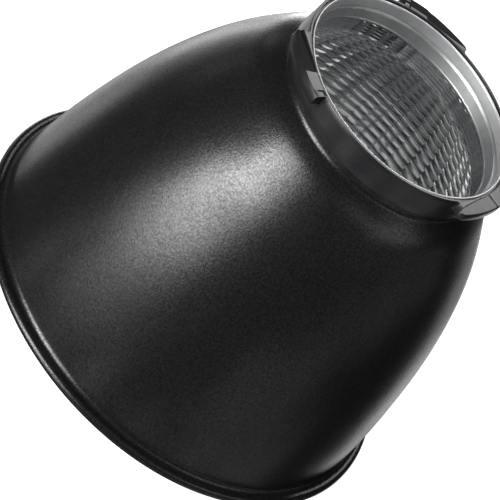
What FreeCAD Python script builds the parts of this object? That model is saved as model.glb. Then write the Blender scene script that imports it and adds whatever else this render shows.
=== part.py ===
import FreeCAD, Part
import math
import os
import Sketcher

# Bowl reflector with a three-lug twist mount.
# The mouth rests on z = 0 and +Z runs up the axis to the mount, with the origin in the middle
# of the mouth. A profile point is (radius, height). Sizes are in millimetres and degrees.

DIMENSIONS = [
    # mouth bead: a curled edge of stadium section, with a narrow flat underneath
    ("mouth_radius", 95.0), ("curl_radius", 2.0), ("curl_flat", 0.8),
    ("sheet_thick", 1.1), ("curl_end_angle", 30.0),
    # fillet between the bead and the foot of the bowl
    ("foot_fillet", 2.5), ("foot_lean", 4.0), ("foot_centre_radius", 92.4),
    # neck of the shell
    ("neck_radius", 47.35), ("neck_fillet", 2.5), ("neck_fillet_high", 134.7),
    ("neck_top", 142.0), ("neck_inner_drop", 0.3),
    # liner
    ("liner_offset", 3.6), ("liner_thick", 0.8), ("liner_base_high", 1.9),
    ("liner_flange_radius", 90.0), ("liner_neck_radius", 46.15),
    ("liner_neck_top", 138.6), ("liner_neck_low", 133.2), ("liner_inner_drop", 0.35),
    # neck ferrule
    ("ferrule_inner_low", 44.75), ("ferrule_inner_high", 45.4),
    ("ferrule_skirt", 45.25), ("ferrule_body", 46.15), ("ferrule_flange", 47.7),
    ("ferrule_low", 137.5), ("ferrule_high", 143.2),
    ("ferrule_chamfer_width", 0.12), ("ferrule_chamfer_height", 0.15),
    ("ferrule_liner_gap", 0.1), ("ferrule_neck_gap", 0.2),
    # mount ring
    ("ring_radius", 48.95), ("ring_bottom", 137.2), ("ring_top", 149.2),
    ("ring_bore_low", 47.45), ("ring_seat", 142.1), ("ring_bore_high", 47.8),
    ("ring_chamfer", 0.45), ("ring_bore_chamfer", 0.25),
    # lugs: "start" and "span" are angles about the axis, anticlockwise from above
    ("lug_radius", 54.25), ("lug_thick", 4.5), ("lug_root", 48.2),
    ("lug_start", 208.5), ("lug_span", 36.5), ("lug_count", 3.0),
    # lug flare: its angle before the lug start, and its two heights above the ring wall
    ("flare_angle", 1.8), ("flare_low", 0.15), ("flare_high", 1.3),
    # lug outer corner: depths below the lug radius, and angles after the lug start
    ("corner_depth_a", 1.5), ("corner_angle_a", 0.3),
    ("corner_depth_b", 0.35), ("corner_angle_b", 1.1), ("corner_angle_c", 2.2),
    # recess in the lug top: angles after the lug start, radial distances from ring and lug
    ("recess_depth", 0.45), ("recess_start", 2.5), ("recess_end", 24.5),
    ("recess_start_rise", 1.8), ("recess_end_sink", 1.0), ("recess_overrun", 1.0),
    ("recess_arc_delay", 1.0), ("recess_end_slant", 3.0),
    # notch in the lug top: angles before the lug's square end, radial distances from the ring
    ("notch_depth", 0.5), ("notch_sink", 0.5),
    ("notch_start_inner", 3.4), ("notch_start_outer", 3.2), ("notch_start_rise", 2.8),
    ("notch_end_outer", 1.5), ("notch_end_inner", 0.8), ("notch_end_rise", 2.9),
    # throat sleeve
    ("sleeve_outer", 47.6), ("sleeve_bore", 46.1), ("sleeve_low", 143.6),
    ("sleeve_high", 148.7), ("sleeve_lip", 0.55), ("sleeve_ledge_drop", 0.9),
    # rim wire
    ("wire_radius", 0.85),
]

# Stations up the outside of the bowl: (radius, height)
BOWL_STATIONS = [
    (88.9, 19.8), (86.5, 38.8), (83.2, 57.8), (78.5, 76.8),
    (72.0, 95.8), (65.4, 110.0), (58.9, 121.0), (54.3, 127.5),
]
for number, (radius, height) in enumerate(BOWL_STATIONS, start=1):
    DIMENSIONS.append(("bowl_radius_%d" % number, radius))
    DIMENSIONS.append(("bowl_height_%d" % number, height))

# Horizontal and vertical parts of the unit normal where the bowl meets the neck fillet
SHOULDER_NORMAL = (0.6, 0.8)

# Direction of travel along an arc
ANTICLOCKWISE, CLOCKWISE = 1, -1

doc = FreeCAD.newDocument("reflector")
sheet = doc.addObject("Spreadsheet::Sheet", "Dims")
sheet.Label = "Dims"
for row, (alias, value) in enumerate(DIMENSIONS, start=1):
    sheet.set("A%d" % row, alias)
    sheet.set("B%d" % row, "%.6g" % value)
    sheet.setAlias("B%d" % row, alias)
doc.recompute()


# ---------------------------------------------------------------- sizes bound to the sheet
class Size:
    """A number together with the sheet expression that gives it."""

    def __init__(self, value, text):
        self.value = float(value)
        self.text = text

    def __add__(self, other):
        other = as_size(other)
        return Size(self.value + other.value, "(%s + %s)" % (self.text, other.text))

    def __sub__(self, other):
        other = as_size(other)
        return Size(self.value - other.value, "(%s - %s)" % (self.text, other.text))

    def __mul__(self, other):
        other = as_size(other)
        return Size(self.value * other.value, "(%s * %s)" % (self.text, other.text))


def as_size(number):
    return number if isinstance(number, Size) else Size(number, "%.9g" % number)


def cosine(angle):
    return Size(math.cos(math.radians(angle.value)), "cos((%s) * 1 deg)" % angle.text)


def sine(angle):
    return Size(math.sin(math.radians(angle.value)), "sin((%s) * 1 deg)" % angle.text)


def polar(radius, angle):
    return (radius * cosine(angle), radius * sine(angle))


NUMBERS = dict(DIMENSIONS)
ZERO = as_size(0.0)
AXIS = (ZERO, ZERO)


def dim(alias):
    return Size(NUMBERS[alias], "Dims.%s" % alias)


# ---------------------------------------------------------------- sketches and bodies
def new_body(label):
    body = doc.addObject("PartDesign::Body", label + "_body")
    body.Label = label
    return body


def new_sketch(body, name, role="XZ_Plane", lift=None):
    """A sketch on one of the body's origin planes, raised by lift where one is given."""
    sketch = body.newObject("Sketcher::SketchObject", name)
    plane = next(o for o in body.Origin.OriginFeatures if o.Role == role)
    sketch.AttachmentSupport = [(plane, "")]
    sketch.MapMode = "FlatFace"
    if lift is not None:
        offset = FreeCAD.Vector(0, 0, lift.value)
        sketch.AttachmentOffset = FreeCAD.Placement(offset, FreeCAD.Rotation())
        sketch.setExpression("AttachmentOffset.Base.z", lift.text)
    return sketch


def vector(point):
    return FreeCAD.Vector(point[0].value, point[1].value, 0)


def constrain(sketch, name, size, kind, *references):
    """Adds a named constraint that takes its value from the sheet."""
    index = sketch.addConstraint(Sketcher.Constraint(kind, *references, size.value))
    sketch.renameConstraint(index, name)
    sketch.setExpression(".Constraints." + name, size.text)


def arc_curve(start, end, centre, radius, way):
    start_angle = math.atan2(start.y - centre.y, start.x - centre.x)
    end_angle = math.atan2(end.y - centre.y, end.x - centre.x)
    # a sketch arc always runs anticlockwise
    if way == CLOCKWISE:
        start_angle, end_angle = end_angle, start_angle
    while end_angle <= start_angle:
        end_angle += 2 * math.pi
    circle = Part.Circle(centre, FreeCAD.Vector(0, 0, 1), radius)
    return Part.ArcOfCircle(circle, start_angle, end_angle)


def piece_curve(piece, end):
    kind, start = piece[0], vector(piece[1])
    if kind == "line":
        return Part.LineSegment(start, end)
    if kind == "arc":
        centre, radius, way = piece[2:]
        return arc_curve(start, end, vector(centre), radius.value, way)
    curve = Part.BSplineCurve()
    curve.interpolate(Points=[start] + [vector(point) for point in piece[2]] + [end])
    return curve


def add_outline(sketch, pieces):
    """Adds one closed outline, each piece ending where the next one starts. A piece is
    ("line", start), ("arc", start, centre, radius, way) or ("spline", start, points between).
    Every corner takes its coordinates from the sheet, and every arc its radius."""
    following = pieces[1:] + pieces[:1]
    ids = [
        sketch.addGeometry(piece_curve(piece, vector(after[1])), False)
        for piece, after in zip(pieces, following)
    ]
    # the end of each curve that lies at its piece's start: 1 is the curve's start, 2 its end
    starts = [2 if p[0] == "arc" and p[4] == CLOCKWISE else 1 for p in pieces]
    for k in range(len(pieces)):
        after = (k + 1) % len(pieces)
        sketch.addConstraint(Sketcher.Constraint(
            "Coincident", ids[k], 3 - starts[k], ids[after], starts[after]))

    for piece, geo, start in zip(pieces, ids, starts):
        x, y = piece[1]
        # a zero coordinate puts the corner on the other axis: -2 is vertical, -1 horizontal
        for tag, kind, size, axis in (("x", "DistanceX", x, -2), ("y", "DistanceY", y, -1)):
            if abs(size.value) < 1e-9:
                sketch.addConstraint(Sketcher.Constraint("PointOnObject", geo, start, axis))
            else:
                constrain(sketch, "p%d%s" % (geo, tag), size, kind, -1, 1, geo, start)
        if piece[0] == "arc":
            constrain(sketch, "rad%d" % geo, piece[3], "Radius", geo)


def revolve(body, sketch, name):
    spin = body.newObject("PartDesign::Revolution", name)
    spin.Profile = sketch
    spin.ReferenceAxis = (sketch, ["V_Axis"])
    spin.Angle = 360.0
    body.Tip = spin


def revolved_body(label, stem, outline):
    body = new_body(label)
    sketch = new_sketch(body, stem + "_profile")
    add_outline(sketch, outline)
    revolve(body, sketch, stem + "_spin")
    return body


# ---------------------------------------------------------------- profile shared by the parts
thick = dim("sheet_thick")
curl = dim("curl_radius")
curl_outer = dim("mouth_radius") - curl          # centre radius of the curl's outer half
curl_inner = curl_outer - dim("curl_flat")       # centre radius of its inner half

foot_radius = dim("foot_fillet")
foot_lean = dim("foot_lean")
foot_centre = (dim("foot_centre_radius"), curl * 2 + foot_radius)

neck = dim("neck_radius")
neck_top = dim("neck_top")
neck_fillet = dim("neck_fillet")
neck_fillet_high = dim("neck_fillet_high")
neck_fillet_centre = (neck + neck_fillet, neck_fillet_high)


def foot_point(radius):
    """Point on an arc about the foot centre, where the bowl starts."""
    return (foot_centre[0] - radius * cosine(foot_lean),
            foot_centre[1] - radius * sine(foot_lean))


def along_shoulder(point, distance):
    """Moves a point down and inward along the shoulder normal."""
    return tuple(c - distance * part for c, part in zip(point, SHOULDER_NORMAL))


bowl = [
    (dim("bowl_radius_%d" % number), dim("bowl_height_%d" % number))
    for number in range(1, len(BOWL_STATIONS) + 1)
]
foot = foot_point(foot_radius)
shoulder = along_shoulder(neck_fillet_centre, neck_fillet)


def bowl_inward(gap):
    """The bowl stations moved in by gap, along the normal to the chord of their neighbours."""
    points = [foot] + bowl + [shoulder]
    moved = []
    for before, point, after in zip(points, points[1:], points[2:]):
        run = after[0].value - before[0].value
        rise = after[1].value - before[1].value
        length = math.hypot(run, rise)
        moved.append((point[0] - gap * (rise / length), point[1] - gap * (-run / length)))
    return moved


# ---------------------------------------------------------------- outer shell
def build_outer_shell():
    bore = curl - thick                          # inside radius of the curl
    end_angle = dim("curl_end_angle")
    outer_centre = (curl_outer, curl)
    inner_centre = (curl_inner, curl)
    foot_x, foot_z = foot_centre
    foot_outer = foot_radius + thick
    neck_inner = neck - thick

    def curl_end(radius):
        return (curl_inner - radius * cosine(end_angle), curl + radius * sine(end_angle))

    revolved_body("outer_shell", "shell", [
        # outside, from the foot up
        ("spline", foot, bowl),
        ("arc", shoulder, neck_fillet_centre, neck_fillet, CLOCKWISE),
        ("line", (neck, neck_fillet_high)),
        ("line", (neck, neck_top)),
        ("line", (neck_inner, neck_top)),
        ("line", (neck_inner, neck_fillet_high - dim("neck_inner_drop"))),
        # inside, back down
        ("spline", along_shoulder(shoulder, thick), bowl_inward(thick)[::-1]),
        ("arc", foot_point(foot_outer), foot_centre, foot_outer, ANTICLOCKWISE),
        ("line", (foot_x, foot_z - foot_radius - thick)),
        # inside of the curl
        ("arc", (curl_outer, curl + bore), outer_centre, bore, CLOCKWISE),
        ("arc", (curl_outer + bore, curl), outer_centre, bore, CLOCKWISE),
        ("line", (curl_outer, curl - bore)),
        ("arc", (curl_inner, curl - bore), inner_centre, bore, CLOCKWISE),
        ("line", curl_end(bore)),
        # outside of the curl
        ("arc", curl_end(curl), inner_centre, curl, ANTICLOCKWISE),
        ("line", (curl_inner, ZERO)),
        ("arc", (curl_outer, ZERO), outer_centre, curl, ANTICLOCKWISE),
        ("arc", (dim("mouth_radius"), curl), outer_centre, curl, ANTICLOCKWISE),
        ("line", (curl_outer, curl + curl)),
        ("arc", (foot_x, foot_z - foot_radius), foot_centre, foot_radius, CLOCKWISE),
    ])


# ---------------------------------------------------------------- rim wire
def build_rim_wire():
    """A round wire in the middle of the curl."""
    body = new_body("rim_wire")
    sketch = new_sketch(body, "wire_profile")
    centre = (curl_inner + dim("curl_flat") * 0.5, curl)
    radius = dim("wire_radius")
    circle = Part.Circle(vector(centre), FreeCAD.Vector(0, 0, 1), radius.value)
    geo = sketch.addGeometry(circle, False)
    constrain(sketch, "centre_x", centre[0], "DistanceX", -1, 1, geo, 3)
    constrain(sketch, "centre_y", centre[1], "DistanceY", -1, 1, geo, 3)
    constrain(sketch, "wire", radius, "Radius", geo)
    revolve(body, sketch, "wire_spin")


# ---------------------------------------------------------------- faceted liner
def build_liner():
    """The liner as the smooth mean surface of its facets."""
    offset, wall = dim("liner_offset"), dim("liner_thick")
    outer = bowl_inward(offset - wall)
    inner = bowl_inward(offset)
    foot_outer = foot[0] - (offset - wall)
    foot_inner = foot[0] - offset
    base = dim("liner_base_high")
    flange = dim("liner_flange_radius")
    tube, low, top = dim("liner_neck_radius"), dim("liner_neck_low"), dim("liner_neck_top")
    revolved_body("faceted_liner", "liner", [
        # outside, foot to neck
        ("spline", (foot_outer, foot[1]), outer[:-1]),
        ("line", outer[-1]),
        ("line", (tube, low)),
        ("line", (tube, top)),
        ("line", (tube - wall, top)),
        ("line", (tube - wall, low - dim("liner_inner_drop"))),
        # inside, back down to the flange
        ("spline", inner[-1], inner[-2::-1]),
        ("line", (foot_inner, foot[1])),
        ("line", (foot_inner, base)),
        ("line", (flange, base)),
        ("line", (flange, base + wall)),
        ("line", (foot_outer, base + wall)),
    ])


# ---------------------------------------------------------------- neck ferrule
def build_ferrule():
    low, high = dim("ferrule_low"), dim("ferrule_high")
    bore_low, skirt = dim("ferrule_inner_low"), dim("ferrule_skirt")
    middle, flange = dim("ferrule_body"), dim("ferrule_flange")
    skirt_top = dim("liner_neck_top") + dim("ferrule_liner_gap")
    flange_low = neck_top + dim("ferrule_neck_gap")
    revolved_body("neck_ferrule", "ferrule", [
        ("line", (bore_low + dim("ferrule_chamfer_width"), low)),
        ("line", (skirt, low)),
        ("line", (skirt, skirt_top)),
        ("line", (middle, skirt_top)),
        ("line", (middle, flange_low)),
        ("line", (flange, flange_low)),
        ("line", (flange, high)),
        ("line", (dim("ferrule_inner_high"), high)),
        ("line", (bore_low, low + dim("ferrule_chamfer_height"))),
    ])


# ---------------------------------------------------------------- throat sleeve
def build_sleeve():
    """A sleeve with a rounded lip standing above its outer ledge."""
    outer, bore, lip = dim("sleeve_outer"), dim("sleeve_bore"), dim("sleeve_lip")
    low, high = dim("sleeve_low"), dim("sleeve_high")
    ledge = high - dim("sleeve_ledge_drop")
    lip_centre = (bore + lip, high - lip)
    revolved_body("throat_sleeve", "sleeve", [
        ("line", (bore, low)),
        ("line", (outer, low)),
        ("line", (outer, ledge)),
        ("line", (bore + lip * 2.0, ledge)),
        ("arc", (bore + lip * 2.0, high - lip), lip_centre, lip, ANTICLOCKWISE),
        ("arc", (bore + lip, high), lip_centre, lip, ANTICLOCKWISE),
        ("line", (bore, high - lip)),
    ])


# ---------------------------------------------------------------- mount ring and lugs
ring = dim("ring_radius")
ring_top = dim("ring_top")
lug = dim("lug_radius")
lug_start = dim("lug_start")
lug_end = lug_start + dim("lug_span")


def build_ring():
    bottom, seat = dim("ring_bottom"), dim("ring_seat")
    bore_low, bore_high = dim("ring_bore_low"), dim("ring_bore_high")
    chamfer, bore_chamfer = dim("ring_chamfer"), dim("ring_bore_chamfer")
    return revolved_body("mount_ring", "ring", [
        ("line", (bore_low, bottom)),
        ("line", (ring - chamfer, bottom)),
        ("line", (ring, bottom + chamfer)),
        ("line", (ring, ring_top - chamfer)),
        ("line", (ring - chamfer, ring_top)),
        ("line", (bore_high + bore_chamfer, ring_top)),
        ("line", (bore_high, ring_top - bore_chamfer)),
        ("line", (bore_high, seat)),
        ("line", (bore_low, seat)),
    ])


def lug_outline():
    """Anticlockwise after the root: flared start, rounded outer corner, outer arc, square end."""
    root = dim("lug_root")
    flare_start = lug_start - dim("flare_angle")
    return [
        ("arc", polar(root, lug_end), AXIS, root, CLOCKWISE),
        ("line", polar(root, flare_start)),
        ("line", polar(ring + dim("flare_low"), flare_start)),
        ("line", polar(ring + dim("flare_high"), lug_start)),
        ("line", polar(lug - dim("corner_depth_a"), lug_start + dim("corner_angle_a"))),
        ("line", polar(lug - dim("corner_depth_b"), lug_start + dim("corner_angle_b"))),
        ("arc", polar(lug, lug_start + dim("corner_angle_c")), AXIS, lug, ANTICLOCKWISE),
        ("line", polar(lug, lug_end)),
    ]


def recess_outline():
    """A shallow step with a straight inner side, open past the lug's outer arc."""
    outer = lug + dim("recess_overrun")
    start = lug_start + dim("recess_start")
    end = lug_start + dim("recess_end")
    return [
        ("line", polar(ring + dim("recess_start_rise"), start)),
        ("line", polar(outer, start)),
        ("arc", polar(outer, start + dim("recess_arc_delay")), AXIS, outer, ANTICLOCKWISE),
        ("line", polar(outer, end)),
        ("line", polar(ring - dim("recess_end_sink"), end - dim("recess_end_slant"))),
    ]


def notch_outline():
    """A small notch that leaves a thin lip at the lug's square end."""
    inner = ring - dim("notch_sink")
    return [
        ("line", polar(inner, lug_end - dim("notch_start_inner"))),
        ("line", polar(ring + dim("notch_start_rise"), lug_end - dim("notch_start_outer"))),
        ("line", polar(ring + dim("notch_end_rise"), lug_end - dim("notch_end_outer"))),
        ("line", polar(inner, lug_end - dim("notch_end_inner"))),
    ]


def add_patterned(body, stem, kind, outline, lift, length):
    """Pads or pockets an outline drawn at height lift, and repeats it for every lug."""
    sketch = new_sketch(body, stem + "_outline", "XY_Plane", lift)
    add_outline(sketch, outline)
    doc.recompute()
    suffix = "_pad" if kind == "Pad" else "_cut"
    feature = body.newObject("PartDesign::" + kind, stem + suffix)
    feature.Profile = sketch
    feature.Length = length.value
    feature.setExpression("Length", length.text)
    doc.recompute()
    count = dim("lug_count")
    pattern = body.newObject("PartDesign::PolarPattern", stem + "_pattern")
    pattern.Originals = [feature]
    pattern.Axis = (sketch, ["N_Axis"])
    pattern.Angle = 360.0
    pattern.Occurrences = int(count.value)
    pattern.setExpression("Occurrences", count.text)
    body.Tip = pattern
    doc.recompute()


def build_mount():
    body = build_ring()
    lug_thick = dim("lug_thick")
    add_patterned(body, "lug", "Pad", lug_outline(), ring_top - lug_thick, lug_thick)
    add_patterned(body, "recess", "Pocket", recess_outline(), ring_top, dim("recess_depth"))
    add_patterned(body, "notch", "Pocket", notch_outline(), ring_top, dim("notch_depth"))


# ---------------------------------------------------------------- checks and export
def export_bodies():
    doc.recompute()
    failed = []
    for obj in doc.Objects:
        if any(state in obj.State for state in ("Invalid", "Error")):
            failed.append(obj.Name + " " + str(obj.State))
    bodies = [obj for obj in doc.Objects if obj.TypeId == "PartDesign::Body"]
    for body in bodies:
        if body.Shape.isNull() or not body.Shape.isValid():
            failed.append(body.Label + " shape is null or invalid")
    if failed:
        raise RuntimeError("; ".join(failed))

    os.makedirs("parts", exist_ok=True)
    for body in bodies:
        body.Shape.exportStep(os.path.join("parts", body.Label + ".step"))


build_outer_shell()
build_rim_wire()
build_liner()
build_ferrule()
build_sleeve()
build_mount()
export_bodies()
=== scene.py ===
"""Bell-shaped reflector: a black spun shell, a bright faceted liner and a lugged mount ring.

Its axis is Z. The mouth lies face down at z = 0 and the neck points up, with the mount
ring round it up to z = 149.2 mm. Sizes are in millimetres; meshes are scaled to metres.
Profiles are lists of (radius, height).
"""

import math

import bpy
import bmesh
import numpy as np
from mathutils import Matrix, Vector


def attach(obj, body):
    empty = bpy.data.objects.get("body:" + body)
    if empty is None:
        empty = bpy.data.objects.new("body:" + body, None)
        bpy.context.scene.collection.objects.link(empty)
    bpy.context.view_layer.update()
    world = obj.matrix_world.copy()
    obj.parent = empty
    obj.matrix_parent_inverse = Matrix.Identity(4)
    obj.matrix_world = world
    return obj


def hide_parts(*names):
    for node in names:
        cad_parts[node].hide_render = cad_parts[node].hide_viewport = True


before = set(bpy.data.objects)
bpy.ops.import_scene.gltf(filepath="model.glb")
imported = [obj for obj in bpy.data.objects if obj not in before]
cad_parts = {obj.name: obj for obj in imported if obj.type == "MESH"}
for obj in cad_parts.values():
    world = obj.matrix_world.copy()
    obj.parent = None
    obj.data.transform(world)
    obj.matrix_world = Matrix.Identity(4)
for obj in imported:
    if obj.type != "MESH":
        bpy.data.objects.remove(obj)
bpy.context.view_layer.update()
MM = 0.001

# ---------------------------------------------------------------- shared sizes
# outside of the bowl, from the mouth up: (radius, height)
BOWL = [
    (88.9, 19.8), (86.5, 38.8), (83.2, 57.8), (78.5, 76.8),
    (72.0, 95.8), (65.4, 110.0), (58.9, 121.0), (54.3, 127.5),
]
SHEET = 1.1                     # shell thickness

# rolled bead round the mouth
MOUTH_R = 95.0
CURL_R = 2.0
CURL_FLAT = 0.8                 # flat between the two halves of the bead
CURL_OUT = MOUTH_R - CURL_R     # centre radii of the two halves
CURL_IN = CURL_OUT - CURL_FLAT

# fillet from the bead up into the bowl wall
FOOT_R = 2.5
FOOT_CX = 92.4
FOOT_CZ = 2 * CURL_R + FOOT_R
FOOT_LEAN = 4.0                 # degrees
FOOT = (
    FOOT_CX - FOOT_R * math.cos(math.radians(FOOT_LEAN)),
    FOOT_CZ - FOOT_R * math.sin(math.radians(FOOT_LEAN)),
)

# neck, and the fillet below it, which meets the bowl on a 3-4-5 slope
NECK_R = 47.35
NECK_FILLET = 2.5
NECK_LOW = 134.7
NECK_TOP = 142.0
SHOULDER = (NECK_R + NECK_FILLET - NECK_FILLET * 0.6, NECK_LOW - NECK_FILLET * 0.8)

WALL_LINE = [FOOT] + BOWL + [SHOULDER]


# ---------------------------------------------------------------- profile helpers
def arc(cx, cz, radius, start, end, steps):
    """steps + 1 points of a circle between two angles in degrees."""
    angles = [math.radians(start + (end - start) * k / steps) for k in range(steps + 1)]
    return [(cx + radius * math.cos(a), cz + radius * math.sin(a)) for a in angles]


def distances(points):
    """Distance along a polyline at each of its points."""
    return np.concatenate([[0], np.cumsum(np.hypot(*np.diff(points, axis=0).T))])


def spline(points, count):
    """count points on the natural cubic through points, by chord length."""
    p = np.array(points, float)
    t = distances(p)
    n = len(p)
    h = np.diff(t)
    system = np.zeros((n, n))
    right_side = np.zeros((n, 2))
    system[0, 0] = system[-1, -1] = 1
    for i in range(1, n - 1):
        system[i, i - 1:i + 2] = h[i - 1], 2 * (h[i - 1] + h[i]), h[i]
        right_side[i] = 6 * ((p[i + 1] - p[i]) / h[i] - (p[i] - p[i - 1]) / h[i - 1])
    bend = np.linalg.solve(system, right_side)
    out = []
    for s in np.linspace(0, t[-1], count):
        i = min(n - 2, int(np.searchsorted(t, s, side="right")) - 1)
        after, before = t[i + 1] - s, s - t[i]
        q = (bend[i] * after ** 3 + bend[i + 1] * before ** 3) / (6 * h[i])
        q = q + (p[i] / h[i] - bend[i] * h[i] / 6) * after
        q = q + (p[i + 1] / h[i] - bend[i + 1] * h[i] / 6) * before
        out.append((float(q[0]), float(q[1])))
    return out


def inward(points, gap):
    """A line that runs up the wall, moved towards the axis by gap."""
    out = []
    for k, (r, z) in enumerate(points):
        r0, z0 = points[max(0, k - 1)]
        r1, z1 = points[min(len(points) - 1, k + 1)]
        length = math.hypot(r1 - r0, z1 - z0)
        out.append((r - gap * (z1 - z0) / length, z + gap * (r1 - r0) / length))
    return out


def rounded(corners, steps=4):
    """Closed polygon of (radius, height, corner radius) with its corners rounded."""
    out = []
    for i, (x, z, radius) in enumerate(corners):
        if radius == 0:
            out.append((x, z))
            continue
        p = np.array((x, z))
        u = np.array(corners[i - 1][:2]) - p
        v = np.array(corners[(i + 1) % len(corners)][:2]) - p
        len_u, len_v = np.linalg.norm(u), np.linalg.norm(v)
        u, v = u / len_u, v / len_v
        half = math.acos(u @ v) / 2
        setback = min(radius / math.tan(half), len_u * 0.45, len_v * 0.45)
        radius = setback * math.tan(half)
        centre = p + (u + v) / np.linalg.norm(u + v) * (radius / math.sin(half))
        first, last = p + u * setback - centre, p + v * setback - centre
        start = math.atan2(first[1], first[0])
        turn = math.remainder(math.atan2(last[1], last[0]) - start, math.tau)
        out += arc(*centre, radius, math.degrees(start), math.degrees(start + turn), steps)
    return out


def tidy(loop, tol=1e-4):
    """Drops repeated points of a closed loop."""
    out = []
    for p in loop:
        if not out or math.dist(p, out[-1]) > tol:
            out.append(p)
    if math.dist(out[0], out[-1]) <= tol:
        out.pop()
    return out


# ---------------------------------------------------------------- mesh helpers
def link_object(name, data):
    ob = bpy.data.objects.new(name, data)
    bpy.context.scene.collection.objects.link(ob)
    return ob


def closed_mesh(name, columns, sharp):
    """Closed ring of columns round Z, each a closed loop of (x, y, z) in millimetres.

    Edges that turn by more than sharp degrees are shaded sharp.
    """
    n, m = len(columns), len(columns[0])
    verts = [(x * MM, y * MM, z * MM) for column in columns for x, y, z in column]
    faces = []
    for i in range(n):
        j = (i + 1) % n
        for k in range(m):
            q = (k + 1) % m
            faces.append((i * m + k, j * m + k, j * m + q, i * m + q))
    me = bpy.data.meshes.new(name)
    me.from_pydata(verts, [], faces)
    me.validate()
    bm = bmesh.new()
    bm.from_mesh(me)
    bmesh.ops.recalc_face_normals(bm, faces=bm.faces)
    bm.to_mesh(me)
    bm.free()
    me.polygons.foreach_set("use_smooth", [True] * len(me.polygons))
    me.set_sharp_from_angle(angle=math.radians(sharp))
    me.update()
    return link_object(name, me)


def at_angle(profile, angle):
    """Profile points placed at an angle in radians round Z."""
    c, s = math.cos(angle), math.sin(angle)
    return [(r * c, r * s, z) for r, z in profile]


def revolved(name, profile, steps, sharp):
    """Closed profile turned about Z."""
    profile = tidy(profile)
    columns = [at_angle(profile, math.tau * i / steps) for i in range(steps)]
    return closed_mesh(name, columns, sharp)


def finish_piece(ob, mat, cad_node):
    ob.data.materials.append(mat)
    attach(ob, "root")
    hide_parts(cad_node)


# ---------------------------------------------------------------- node trees
class Nodes:
    """Short way to write the node tree of a material or world."""

    def __init__(self, owner, output="ShaderNodeOutputMaterial"):
        self.owner = owner
        owner.use_nodes = True
        self.tree = owner.node_tree
        self.tree.nodes.clear()
        self.out = self.add(output)
        self.object_coords = None

    def add(self, kind, inputs=None, **props):
        """New node; each input takes a value or the output socket to link."""
        node = self.tree.nodes.new(kind)
        for key, value in props.items():
            setattr(node, key, value)
        for key, value in (inputs or {}).items():
            if isinstance(value, bpy.types.NodeSocket):
                self.tree.links.new(value, node.inputs[key])
            else:
                node.inputs[key].default_value = value
        return node

    def finish(self, shader):
        self.tree.links.new(shader, self.out.inputs["Surface"])
        return self.owner

    def coords(self):
        if self.object_coords is None:
            self.object_coords = self.add("ShaderNodeTexCoord").outputs["Object"]
        return self.object_coords

    def noise(self, scale, detail=2.0, rough=0.5, vector=None):
        return self.add("ShaderNodeTexNoise", {
            "Scale": scale, "Detail": detail, "Roughness": rough,
            "Vector": vector or self.coords(),
        }).outputs["Fac"]

    def ramp(self, fac, stops):
        """Colour ramp from (position, (r, g, b)) stops."""
        node = self.add("ShaderNodeValToRGB", {"Fac": fac})
        elements = node.color_ramp.elements
        while len(elements) > 1:
            elements.remove(elements[-1])
        elements[0].position = stops[0][0]
        elements[0].color = (*stops[0][1], 1.0)
        for position, color in stops[1:]:
            elements.new(position).color = (*color, 1.0)
        return node.outputs["Color"]

    def span(self, fac, to, over=(0.3, 0.7)):
        """Maps the range over onto the range to, clamped."""
        return self.add("ShaderNodeMapRange", {
            "From Min": over[0], "From Max": over[1], "To Min": to[0], "To Max": to[1],
            "Value": fac,
        }).outputs["Result"]

    def math(self, op, *values):
        return self.add("ShaderNodeMath", dict(enumerate(values)), operation=op).outputs[0]

    def weighted(self, *parts):
        """Sum of two (socket, weight) parts."""
        return self.math("ADD", *[self.math("MULTIPLY", *part) for part in parts])

    def polar(self):
        """(angle in radians, radius in m, height in m)"""
        xyz = self.add("ShaderNodeSeparateXYZ", {0: self.coords()}).outputs
        x, y = xyz["X"], xyz["Y"]
        angle = self.math("ARCTAN2", y, x)
        return angle, self.math("SQRT", self.weighted((x, x), (y, y))), xyz["Z"]

    def lathe_noise(self, polar, around, across, detail, rough):
        """Noise drawn out round the axis into turning lines; around and across are scales."""
        scaled = [self.math("MULTIPLY", *pair) for pair in zip(polar, (around, across, across))]
        vector = self.add("ShaderNodeCombineXYZ", dict(enumerate(scaled))).outputs[0]
        return self.noise(scale=1.0, detail=detail, rough=rough, vector=vector)

    def bump(self, height, strength, distance):
        return self.add("ShaderNodeBump", {
            "Strength": strength, "Distance": distance, "Height": height,
        }).outputs["Normal"]

    def shader(self, base, rough, metallic, normal=None, specular=None):
        inputs = {"Base Color": base, "Roughness": rough, "Metallic": metallic}
        if normal is not None:
            inputs["Normal"] = normal
        if specular is not None:
            inputs["Specular IOR Level"] = specular
        return self.add("ShaderNodeBsdfPrincipled", inputs).outputs[0]


# ---------------------------------------------------------------- materials
def powder_coat():
    m = Nodes(bpy.data.materials.new("powder_coat_black"))
    grain = m.noise(scale=1150.0, detail=2.0, rough=0.55)
    fine = m.noise(scale=2600.0, detail=1.0, rough=0.5)
    soft = m.noise(scale=60.0, detail=3.0, rough=0.6)
    height = m.weighted((grain, 0.8), (fine, 0.2))
    base = m.ramp(m.weighted((grain, 0.9), (soft, 0.1)), [
        (0.30, (0.004, 0.004, 0.0043)),
        (0.62, (0.008, 0.008, 0.0085)),
        (0.80, (0.014, 0.014, 0.015)),
    ])
    rough = m.math("ADD", m.span(soft, to=(0.26, 0.29)), m.span(fine, to=(-0.02, 0.02)))
    normal = m.bump(height, strength=1.0, distance=0.00006)
    specular = m.span(grain, to=(0.32, 0.68), over=(0.32, 0.68))
    return m.finish(m.shader(base, rough, metallic=0.0, normal=normal, specular=specular))


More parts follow.
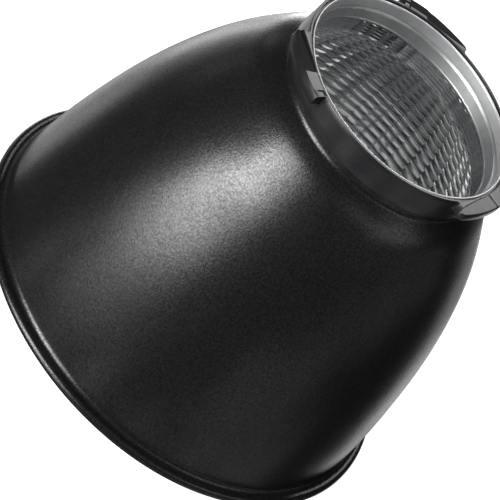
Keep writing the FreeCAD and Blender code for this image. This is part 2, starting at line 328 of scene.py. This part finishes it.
def satin_black():
    """A mesh attribute makes parts of the lug tops rougher, and paints shade on them by
    lowering their specular level.
    """
    m = Nodes(bpy.data.materials.new("satin_black_ring"))
    polar = m.polar()
    grain = m.noise(scale=2200.0, detail=2.0, rough=0.5)
    turned = m.lathe_noise(polar, around=2.0, across=5200.0, detail=3.0, rough=0.6)
    base = m.ramp(grain, [(0.3, (0.008, 0.008, 0.009)), (0.7, (0.014, 0.014, 0.015))])
    dull_painted_shade = m.add(
        "ShaderNodeAttribute", attribute_name="dull_painted_shade", attribute_type="GEOMETRY"
    ).outputs["Fac"]
    patches = m.span(m.noise(scale=90.0, detail=3.0), to=(0.24, 0.30))
    rough = m.math("ADD", patches, m.math("MULTIPLY", dull_painted_shade, 0.30))
    height = m.weighted((grain, 0.5), (turned, 0.5))
    normal = m.bump(height, strength=0.18, distance=0.00003)
    # painted shade: on the marked lug faces the specular level drops from 0.55 to 0.10
    specular = m.span(dull_painted_shade, to=(0.55, 0.10), over=(0.0, 1.0))
    return m.finish(m.shader(base, rough, metallic=0.0, normal=normal, specular=specular))


def bright_facets():
    m = Nodes(bpy.data.materials.new("bright_pressed_aluminium"))
    grain = m.noise(scale=900.0, detail=3.0, rough=0.6)
    wide = m.noise(scale=35.0, detail=2.0, rough=0.5)
    # painted shade: the base colour darkens with height into the neck, dimming the reflections
    # there
    neck = m.span(m.polar()[2], to=(0.0, 0.6), over=(0.1270, 0.1310))
    base = m.ramp(m.math("SUBTRACT", wide, neck), [
        (0.0, (0.40, 0.405, 0.41)),
        (0.3, (0.66, 0.67, 0.68)),
        (0.7, (0.78, 0.785, 0.79)),
    ])
    rough = m.math("ADD", m.span(grain, to=(0.10, 0.17)), m.span(wide, to=(0.0, 0.03)))
    normal = m.bump(grain, strength=0.15, distance=0.00004)
    return m.finish(m.shader(base, rough, metallic=1.0, normal=normal))


def turned_aluminium(name, rough, tone):
    """rough and tone are (low, high) ranges of roughness and brightness."""
    m = Nodes(bpy.data.materials.new(name))
    polar = m.polar()
    lines = m.lathe_noise(polar, around=3.0, across=6500.0, detail=4.0, rough=0.7)
    smear = m.lathe_noise(polar, around=14.0, across=300.0, detail=2.0, rough=0.5)
    low, high = tone
    base = m.ramp(smear, [
        (0.3, (low, low * 1.01, low * 1.02)),
        (0.7, (high, high * 1.005, high * 1.01)),
    ])
    roughness = m.span(lines, to=rough)
    normal = m.bump(lines, strength=0.20, distance=0.00003)
    return m.finish(m.shader(base, roughness, metallic=1.0, normal=normal))


def drawn_wire():
    m = Nodes(bpy.data.materials.new("drawn_steel_wire"))
    lines = m.lathe_noise(m.polar(), around=4.0, across=9000.0, detail=3.0, rough=0.6)
    base = m.ramp(lines, [(0.3, (0.42, 0.42, 0.43)), (0.7, (0.56, 0.56, 0.57))])
    rough = m.span(lines, to=(0.25, 0.38))
    normal = m.bump(lines, strength=0.2, distance=0.00002)
    return m.finish(m.shader(base, rough, metallic=1.0, normal=normal))


def pale_floor():
    """Near-white, and glowing so that it stays white under weak light."""
    m = Nodes(bpy.data.materials.new("pale_floor"))
    patches = m.noise(scale=3.0, detail=2.0)
    base = m.ramp(patches, [(0.3, (0.86, 0.86, 0.86)), (0.7, (0.9, 0.9, 0.9))])
    surface = m.shader(base, rough=0.9, metallic=0.0)
    glow = m.add("ShaderNodeEmission", {"Color": (1, 1, 1, 1), "Strength": 0.95}).outputs[0]
    return m.finish(m.add("ShaderNodeAddShader", {0: surface, 1: glow}).outputs[0])


# ---------------------------------------------------------------- shell
def spun_shell():
    """One spun sheet, curled at the mouth."""
    edge = 0.25                 # rounding of the neck's top edge
    neck_in = NECK_R - SHEET
    curl_inside = CURL_R - SHEET
    loop = spline(WALL_LINE, 120)
    # neck: fillet, outside, top edge, inside
    loop += arc(NECK_R + NECK_FILLET, NECK_LOW, NECK_FILLET, 180 + 53.13, 180, 8)[1:]
    loop += [(NECK_R, z) for z in (135.4, 136.3, 137.2, 139.5)]
    loop += arc(NECK_R - edge, NECK_TOP - edge, edge, 0, 90, 3)
    loop += arc(neck_in + edge, NECK_TOP - edge, edge, 90, 180, 3)
    loop += [(neck_in, 138.0), (neck_in, NECK_LOW - 0.3)]
    # inner face, down to the bead
    loop += reversed(inward(spline(WALL_LINE, 60), SHEET))
    loop += arc(FOOT_CX, FOOT_CZ, FOOT_R + SHEET, 180 + FOOT_LEAN, 270, 8)[1:]
    # hollow of the bead to the sheet's cut edge, then back round its outside
    loop += arc(CURL_OUT, CURL_R, curl_inside, 90, -90, 12)
    loop += arc(CURL_IN, CURL_R, curl_inside, 270, 150, 9)
    loop += arc(CURL_IN, CURL_R, CURL_R, 150, 270, 14)
    loop += arc(CURL_OUT, CURL_R, CURL_R, 270, 450, 24)
    loop += arc(FOOT_CX, FOOT_CZ, FOOT_R, 270, 180 + FOOT_LEAN, 12)
    return revolved("spun_shell", loop, steps=384, sharp=40)


finish_piece(spun_shell(), powder_coat(), "outer_shell")

# ---------------------------------------------------------------- liner
LINER_GAP, LINER_T = 3.6, 0.8   # from the shell's outside; sheet thickness
TUBE_IN = 45.35                 # neck tube
TUBE_OUT = TUBE_IN + LINER_T
FLANGE_R, FLANGE_TOP = 90.0, 2.7
FLANGE_LOW = FLANGE_TOP - LINER_T
FLANGE_EDGE = 0.1

FACET_COLUMNS, STEPS_ACROSS, STEPS_ALONG = 60, 8, 7
FIRST_COLUMN = 2.5              # angle of a column edge, degrees
BULGE_ACROSS = BULGE_ALONG = 0.32
BULGE_RADIUS = 70.0             # bowl radius at which BULGE_ACROSS holds
# facet row edges, by distance up the liner: 5 mm rows up the bowl, fine ones in the neck
ROW_EDGES = [1.0 + 5.0 * k for k in range(28)] + [136.0 + 1.7 * k for k in range(1, 5)]
FINE_ROW_BULGE = 0.36


def pressed_liner():
    """Thin sheet whose inner face bulges inwards in rows and columns of facets."""
    wall = spline(WALL_LINE, 90)
    back = [p for p in inward(wall, LINER_GAP) if p[0] > TUBE_OUT and p[1] > FLANGE_TOP]
    face = [p for p in inward(wall, LINER_GAP + LINER_T) if p[0] > TUBE_IN + 0.05]
    face_low = face[0][0]
    smooth = [(face_low, FLANGE_TOP)] + face + [(TUBE_IN, z) for z in (134.0, 135.5, 137.6)]
    smooth = np.array(smooth)
    distance = distances(smooth)

    # mesh rows of the face: (distance, place in the facet from -1 to 1, bulge)
    rows = [(0.0, -1.0, 0.0), (0.5, -1.0, 0.0)]
    for low, high in zip(ROW_EDGES[:-1], ROW_EDGES[1:]):
        bulge = 1.0 if high - low > 3.0 else FINE_ROW_BULGE
        for k in range(STEPS_ALONG):
            rows.append((low + (high - low) * k / STEPS_ALONG, k / STEPS_ALONG * 2 - 1, bulge))
    rows += [(ROW_EDGES[-1], -1.0, 0.0), (float(distance[-1]), -1.0, 0.0)]
    t, v, bulge = np.array(rows).T
    r, z = np.interp(t, distance, smooth[:, 0]), np.interp(t, distance, smooth[:, 1])
    dr, dz = np.gradient(r, t), np.gradient(z, t)
    fade = np.minimum(1.0, np.minimum(t / 1.5, (t[-1] - t) / 0.8))
    lift_across = BULGE_ACROSS * (r / BULGE_RADIUS) * (0.55 + 0.45 * bulge)
    lift_along = BULGE_ALONG * (1 - v ** 2) * bulge

    # smooth back: down the tube and bowl, then round the mouth flange
    back_loop = [(TUBE_IN, 138.6), (TUBE_OUT, 138.6), (TUBE_OUT, 134.5)] + back[::-1]
    back_loop += [
        (back[0][0], FLANGE_TOP),
        (FLANGE_R - FLANGE_EDGE, FLANGE_TOP), (FLANGE_R, FLANGE_TOP - FLANGE_EDGE),
        (FLANGE_R, FLANGE_LOW + FLANGE_EDGE), (FLANGE_R - FLANGE_EDGE, FLANGE_LOW),
        (face_low + 0.4, FLANGE_LOW), (face_low, 2.2),
    ]
    back_loop = tidy(back_loop)
    columns = []
    count = FACET_COLUMNS * STEPS_ACROSS
    for i in range(count):
        u = (i % STEPS_ACROSS) / STEPS_ACROSS * 2 - 1
        lift = (lift_across * (1 - u * u) + lift_along) * fade
        loop = list(zip(r - lift * dz, z + lift * dr)) + back_loop
        columns.append(at_angle(loop, math.radians(FIRST_COLUMN + 360.0 * i / count)))
    return closed_mesh("pressed_liner", columns, sharp=9.0)


finish_piece(pressed_liner(), bright_facets(), "faceted_liner")

# ---------------------------------------------------------------- neck ferrule
# bright tube, rolled at both ends: (radius, height, corner radius)
FERRULE = [
    (45.25, 138.7, 0), (46.15, 138.7, 0), (46.15, 142.2, 0), (47.7, 142.2, 0.1),
    (47.7, 143.55, 0.1), (46.0, 143.55, 0.05), (45.35, 142.6, 0.8), (44.78, 138.3, 0.15),
    (44.55, 138.05, 0.2), (44.55, 137.55, 0.2), (44.75, 137.3, 0.2), (45.25, 137.3, 0.1),
]
finish_piece(
    revolved("rolled_ferrule", rounded(FERRULE), steps=360, sharp=35),
    turned_aluminium("turned_ferrule", rough=(0.38, 0.46), tone=(0.48, 0.56)),
    "neck_ferrule",
)

# ---------------------------------------------------------------- throat sleeve
# up the outside, then over a half-round lip
SLEEVE = [
    (46.1, 143.75), (46.25, 143.6), (47.45, 143.6), (47.6, 143.75),
    (47.6, 147.7), (47.5, 147.8), (47.2, 147.85),
] + arc(46.65, 148.15, 0.55, 0, 180, 14)
finish_piece(
    revolved("lipped_sleeve", SLEEVE, steps=360, sharp=40),
    turned_aluminium("turned_sleeve", rough=(0.40, 0.50), tone=(0.84, 0.92)),
    "throat_sleeve",
)

# ---------------------------------------------------------------- mount ring
RING_R, RING_LOW = 48.95, 137.2
LUG_R, LUG_LOW, TOP = 54.25, 144.7, 149.2
LUGS = 3
LUG_PITCH = 360 // LUGS
# angles in degrees; all but the first are measured from the start of a lug
FIRST_LUG = 208.5
LUG_SPAN = 36.5
RAMP_END = 23.4
NOTCH_START, NOTCH_END = 32.9, 35.85
NOTCH_DEPTH = 0.5
NOTCH_IN, NOTCH_OUT = 48.34, 51.9
# ends of the ramp's straight inner edge: (radius, angle)
RAMP_EDGE = [(50.73, 2.3), (47.9, RAMP_END)]
START_FILLET, START_CORNER = 1.3, 1.9
END_CORNER, END_FILLET = 0.3, 0.35
BORE_TOP, BORE_LOW, SEAT = 47.8, 47.45, 142.1   # bore radii above and below the step
EDGE = 0.24                     # bevel of the top and lug edges

# parts of the section that are the same all round
UPPER_BORE = [
    (BORE_TOP, SEAT), (BORE_TOP, 145.0), (BORE_TOP, TOP - 0.22),
    (BORE_TOP + 0.06, TOP - 0.06), (BORE_TOP + 0.22, TOP),
]
LOWER_RING = [
    (RING_R, LUG_LOW - 0.2), (RING_R, 141.0), (RING_R, RING_LOW + 0.42),
    (RING_R - 0.06, RING_LOW + 0.22), (RING_R - 0.22, RING_LOW + 0.06),
    (RING_R - 0.42, RING_LOW), (BORE_LOW + 0.15, RING_LOW), (BORE_LOW, RING_LOW + 0.15),
    (BORE_LOW, 140.0), (BORE_LOW, SEAT - 0.1), (BORE_LOW + 0.1, SEAT),
]


def lug_columns():
    """Columns of one lug and the plain wall after it: (angle, bore angle, radius)."""
    # start of the lug: root fillet, flank, outer corner, as (sideways, outwards)
    root = RING_R + START_FILLET
    flank = LUG_R - START_CORNER - root
    side = arc(-START_FILLET, root, START_FILLET, -90, -6, 7)
    side += [(0.0, root + flank * f) for f in (0.1, 0.4, 0.7, 0.98)]
    side += arc(START_CORNER, LUG_R - START_CORNER, START_CORNER, 171, 90, 9)
    angles = [math.degrees(math.atan2(x, y)) for x, y in side]
    first, last = angles[0], angles[-1]
    radii = [min(math.hypot(x, y), LUG_R) for x, y in side]
    columns = list(zip(angles, np.linspace(first - 0.4, last + 0.8, len(side)), radii))

    # outer face, with a close pair of columns at each step in the top
    middle = list(np.linspace(last + 1.2, LUG_SPAN - 1.2, 44))
    middle += [a + d for a in (RAMP_END, NOTCH_START, NOTCH_END) for d in (-0.04, 0.04)]
    columns += [(a, a, LUG_R) for a in sorted(middle)]

    # end of the lug: small corner, square flank, small fillet
    flank_lean = 1e-3
    corner_angle = math.degrees(END_CORNER / LUG_R)
    fillet_angle = math.degrees(END_FILLET / RING_R)
    quarter = [(1 - math.sin(math.radians(a)), 1 - math.cos(math.radians(a)))
               for a in (0, 30, 60, 90)]
    end = [(LUG_SPAN - corner_angle * s, LUG_R - END_CORNER * c) for s, c in quarter]
    flank = LUG_R - RING_R - END_CORNER - END_FILLET
    for f in (0.25, 0.5, 0.75):
        end.append((LUG_SPAN + flank_lean * f, LUG_R - END_CORNER - flank * f))
    for s, c in reversed(quarter):
        end.append((LUG_SPAN + flank_lean + fillet_angle * s, RING_R + END_FILLET * c))
    bore = np.linspace(LUG_SPAN - 0.9, LUG_SPAN + 1.0, len(end))
    columns += [(a, b, r) for (a, r), b in zip(end, bore)]

    wall = np.linspace(LUG_SPAN + 1.6, LUG_PITCH + first - 0.8, 44)
    return columns + [(a, a, RING_R) for a in wall]


def ramp_edge_radius(angle):
    """Radius of the ramp's straight inner edge at an angle from the lug's start."""
    (x0, y0), (x1, y1) = [
        (r * math.cos(math.radians(a)), r * math.sin(math.radians(a))) for r, a in RAMP_EDGE
    ]
    dx, dy = x1 - x0, y1 - y0
    c, s = math.cos(math.radians(angle)), math.sin(math.radians(angle))
    return (x0 * dy - y0 * dx) / (c * dy - s * dx)


def ring_section(lug, local, angle, bore, radius, point, normal):
    """Closed section of (x, y, z, painted shade and dullness): up the bore, over the top, down
    the outside.

    local is in degrees from the lug's start; angle and bore are in radians round Z.
    """
    def polar(r, z, at=bore, dull_painted_shade=0.0):
        return r * math.cos(at), r * math.sin(at), z, dull_painted_shade

    def inset(depth, z, dull_painted_shade=0.0):
        x, y = point - normal * depth
        return x, y, z, dull_painted_shade

    edge_x, edge_y = point - normal * EDGE
    edge_r = math.hypot(edge_x, edge_y)
    edge_turn = math.remainder(math.atan2(edge_y, edge_x) - bore, math.tau)

    def top(r, z, dull_painted_shade=0.0):
        """Point on the top face, on the line from the bore to the outer edge."""
        return polar(r, z, bore + edge_turn * (r - BORE_TOP) / (edge_r - BORE_TOP), dull_painted_shade)

    on_lug = radius > RING_R + 0.4
    ramp_r = ramp_edge_radius(local)
    on_ramp = on_lug and local < RAMP_END and radius - ramp_r > 0.55
    in_notch = on_lug and NOTCH_START < local < NOTCH_END
    # painted shade, with added roughness: the ramps of lugs 0 and 2, and the rest of lug 2's
    # top
    dull_painted_shade = float(lug != 1 if on_ramp else lug == 2 and on_lug)
    top_z = TOP
    if on_ramp:
        top_z = TOP - (0.30 + 0.035 * (RAMP_END - local))
        step_r = max(48.12, ramp_r - 0.05), max(48.14, ramp_r)
    elif in_notch:
        step_r = NOTCH_IN - 0.04, NOTCH_IN
    else:
        start = BORE_TOP + 0.22
        step_r = start + (edge_r - start) * 0.25, start + (edge_r - start) * 0.3

    rows = [polar(r, z) for r, z in UPPER_BORE]
    rows.append(top(step_r[0], TOP))
    if in_notch:
        floor_z = TOP - NOTCH_DEPTH
        rows.append(top(step_r[1], floor_z, dull_painted_shade))
        rows += [top(r, floor_z) for r in ((step_r[1] + NOTCH_OUT) / 2, NOTCH_OUT)]
        rows.append(top(NOTCH_OUT + 0.04, TOP))
    else:
        width = edge_r - step_r[1]
        rows += [top(step_r[1] + width * f, top_z, dull_painted_shade) for f in (0, 0.35, 0.7, 0.9)]
    low = LUG_LOW if on_lug else LUG_LOW + 0.02
    rows += [
        inset(EDGE, top_z, dull_painted_shade),
        inset(0.07, top_z - 0.07),
        inset(0, top_z - EDGE),
        inset(0, (top_z + LUG_LOW) / 2),
        inset(0, low + EDGE),
    ]
    overhang = radius - RING_R
    if overhang > 0.05:
        rows += [
            inset(min(0.07, overhang * 0.3), LUG_LOW + 0.07),
            inset(min(EDGE, overhang * 0.6), LUG_LOW),
            polar(RING_R + min(0.2, overhang * 0.25), LUG_LOW),
        ]
    else:
        rows += [polar(RING_R, LUG_LOW + rise, angle) for rise in (0.14, 0.07)]
        rows.append(polar(RING_R, LUG_LOW))
    return rows + [polar(r, z) for r, z in LOWER_RING]


def lug_ring():
    """Ring with three lugs, built as sections side by side round the axis."""
    stations = []
    for lug in range(LUGS):
        start = FIRST_LUG + LUG_PITCH * lug
        for local, bore, radius in lug_columns():
            angles = math.radians(start + local), math.radians(start + bore)
            stations.append((lug, local, *angles, radius))
    outline = np.array([(r * math.cos(a), r * math.sin(a)) for _, _, a, _, r in stations])
    along = np.roll(outline, -1, 0) - np.roll(outline, 1, 0)
    normals = np.stack([along[:, 1], -along[:, 0]], 1)
    normals /= np.linalg.norm(normals, axis=1)[:, None]
    sections = [ring_section(*s, p, n) for s, p, n in zip(stations, outline, normals)]
    ob = closed_mesh("lug_ring", [[row[:3] for row in rows] for rows in sections], sharp=26)
    # mark of painted shade and added roughness on the lug tops, one value per vertex
    dull_painted_shade = ob.data.attributes.new("dull_painted_shade", "FLOAT", "POINT")
    dull_painted_shade.data.foreach_set("value", [row[3] for rows in sections for row in rows])
    return ob


finish_piece(lug_ring(), satin_black(), "mount_ring")

# ---------------------------------------------------------------- rim wire
# keeps its CAD solid, with its own finish
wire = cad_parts["rim_wire"]
wire.data.materials.clear()
wire.data.materials.append(drawn_wire())

# ---------------------------------------------------------------- floor
FLOOR_HALF, FLOOR_Z = 6.0, -0.00005     # metres
floor_mesh = bpy.data.meshes.new("floor")
floor_corners = [(-1, -1), (1, -1), (1, 1), (-1, 1)]
floor_mesh.from_pydata(
    [(x * FLOOR_HALF, y * FLOOR_HALF, FLOOR_Z) for x, y in floor_corners], [], [(0, 1, 2, 3)]
)
floor = link_object("floor", floor_mesh)
floor.data.materials.append(pale_floor())
floor.visible_glossy = False
floor.visible_shadow = False
floor.visible_diffuse = False


# ---------------------------------------------------------------- world
def studio_world():
    """White to the camera, a dim grey room to everything else."""
    w = Nodes(bpy.data.worlds.new("studio"), "ShaderNodeOutputWorld")
    room = w.add("ShaderNodeBackground", {"Color": (0.9, 0.95, 1.0, 1), "Strength": 0.03})
    white = w.add("ShaderNodeBackground", {"Color": (1, 1, 1, 1), "Strength": 1.0})
    is_camera = w.add("ShaderNodeLightPath").outputs["Is Camera Ray"]
    mix = w.add("ShaderNodeMixShader", {0: is_camera, 1: room.outputs[0], 2: white.outputs[0]})
    return w.finish(mix.outputs[0])


bpy.context.scene.world = studio_world()

# ---------------------------------------------------------------- lights
# Panels face AIM from PANEL_DISTANCE away, in metres. Azimuth runs from +X towards +Y.
AIM = Vector((0, 0, 0.09))
PANEL_DISTANCE = 1.8

# main bank: (azimuth, elevation, side in m, watts)
PANELS = [
    (-155, -30, 0.34, 0.27), (-145, -10, 0.34, 0.74), (-135, -20, 0.34, 0.48),
    (-135, -10, 0.34, 1.03), (-135, 0, 0.34, 3.91), (-135, 10, 0.34, 4.08),
    (-125, -30, 0.34, 0.16), (-125, -20, 0.34, 0.26), (-125, -10, 0.34, 2.08),
    (-125, 0, 0.34, 3.16), (-125, 10, 0.34, 4.90), (-125, 20, 0.34, 7.80),
    (-125, 30, 0.34, 2.60), (-120, 38, 0.60, 9.00), (-115, -20, 0.34, 0.31),
    (-115, -10, 0.34, 0.70), (-115, 0, 0.34, 4.30), (-115, 20, 0.34, 7.50),
    (-105, -20, 0.34, 0.20), (-105, -10, 0.34, 0.30), (-105, 0, 0.34, 1.67),
    (-105, 10, 0.34, 0.93), (-105, 20, 0.34, 2.97), (-105, 30, 0.34, 1.42),
    (-95, -30, 0.34, 0.24), (-40, -36, 0.60, 0.10), (-40, -18, 0.60, 0.37),
    (-40, 36, 0.60, 0.25), (-20, -36, 0.60, 0.20), (-20, -18, 0.60, 0.29),
    (-20, 0, 0.60, 0.19), (-20, 36, 0.60, 1.11), (0, -36, 0.60, 0.31),
    (0, 0, 0.60, 0.27), (0, 18, 0.60, 0.13), (0, 36, 0.60, 1.03),
    (0, 50, 0.45, 0.33), (20, 5, 0.60, 0.21), (60, -52, 0.50, 0.28),
    (60, -36, 0.50, 0.50), (60, -25, 0.60, 0.57), (60, -10, 0.60, 0.18),
    (80, -30, 0.40, 0.70), (90, 33, 0.60, 4.50), (90, 50, 0.45, 1.12),
    (90, 75, 0.45, 2.53), (95, -20, 0.40, 0.40), (95, -10, 0.40, 1.71),
    (110, -30, 0.40, 0.19), (110, -20, 0.40, 0.59), (110, -10, 0.40, 3.44),
    (120, -36, 0.50, 0.60), (125, -20, 0.40, 1.08), (125, -10, 0.40, 0.87),
    (140, -30, 0.40, 0.56), (140, -20, 0.40, 0.16), (140, -10, 0.40, 0.27),
    (140, 10, 0.40, 0.30), (150, -52, 0.50, 0.79), (160, 0, 0.40, 0.19),
    (315, 50, 0.45, 0.40),
]
# light sent up into the mouth from below, same columns
SWEEP = [
    (-120, -50, 0.50, 0.220), (-90, -50, 0.50, 0.310), (-90, -36, 0.40, 0.200),
    (-60, -63, 0.40, 0.060), (-60, -50, 0.50, 0.270), (-60, -36, 0.40, 0.220),
    (-45, -76, 0.40, 0.018), (-30, -63, 0.40, 0.014), (-30, -50, 0.40, 0.070),
    (-30, -36, 0.40, 0.120), (0, -89, 0.40, 0.019), (0, -63, 0.40, 0.006),
    (0, -50, 0.40, 0.420), (60, -50, 0.90, 0.600), (90, -63, 0.60, 0.650),
    (120, -63, 0.60, 0.500), (135, -76, 0.40, 0.042), (150, -63, 0.40, 0.160),
    (180, -76, 0.40, 0.014),
]
# small discs in the mouth plane, facing up: (x, y, watts)
GLOW = [
    (-68, 0, 0.0006), (-59, -34, 0.0006), (-35, 0, 0.0005), (-34, -59, 0.0002),
    (-17, 30, 0.0002), (0, 0, 0.0002), (0, 68, 0.0002), (34, 59, 0.0003),
    (35, 0, 0.0001), (59, 34, 0.0002),
]
GLOW_SIZE, GLOW_Z = 30, 1


def area_light(name, shape, size, watts):
    lamp = bpy.data.lights.new(name, "AREA")
    lamp.shape = shape
    lamp.size = size
    lamp.energy = watts
    ob = link_object(name, lamp)
    ob.visible_camera = False
    return ob


def soft_panel(name, azimuth, elevation, side, watts):
    ob = area_light(name, "RECTANGLE", side, watts)
    ob.data.size_y = side
    ob.data.spread = math.pi
    a, e = math.radians(azimuth), math.radians(elevation)
    towards = Vector((math.cos(a) * math.cos(e), math.sin(a) * math.cos(e), math.sin(e)))
    ob.location = AIM + towards * PANEL_DISTANCE
    ob.rotation_mode = "QUATERNION"
    ob.rotation_quaternion = (ob.location - AIM).to_track_quat("Z", "Y")


for prefix, bank in (("panel", PANELS), ("sweep", SWEEP)):
    for k, panel in enumerate(bank):
        soft_panel("%s_%02d" % (prefix, k), *panel)

for k, (x, y, watts) in enumerate(GLOW):
    disc = area_light("glow_%02d" % k, "DISK", GLOW_SIZE * MM, watts)
    disc.location = (x * MM, y * MM, GLOW_Z * MM)
    disc.rotation_euler = (math.pi, 0, 0)

# ---------------------------------------------------------------- camera
# long lens from the -Y side and above, rolled about its line of sight; metres
CAMERA_PLACE = Vector((0.00218, -1.16710, 0.89764))
CAMERA_RIGHT = (0.67275, 0.43698, 0.59705)
CAMERA_UP = (-0.73987, 0.39733, 0.54289)
CAMERA_BACK = (0.0, -0.80697, 0.59061)

camera_data = bpy.data.cameras.new("camera")
camera_data.lens = 261.75
camera_data.sensor_width = 36.0
camera_data.clip_start = 0.05
camera_data.clip_end = 50.0
camera = link_object("camera", camera_data)
turn = Matrix((CAMERA_RIGHT, CAMERA_UP, CAMERA_BACK)).transposed()
camera.matrix_world = Matrix.Translation(CAMERA_PLACE) @ turn.to_4x4()
scene = bpy.context.scene
scene.camera = camera
scene.view_settings.view_transform = "Standard"
scene.view_settings.look = "None"
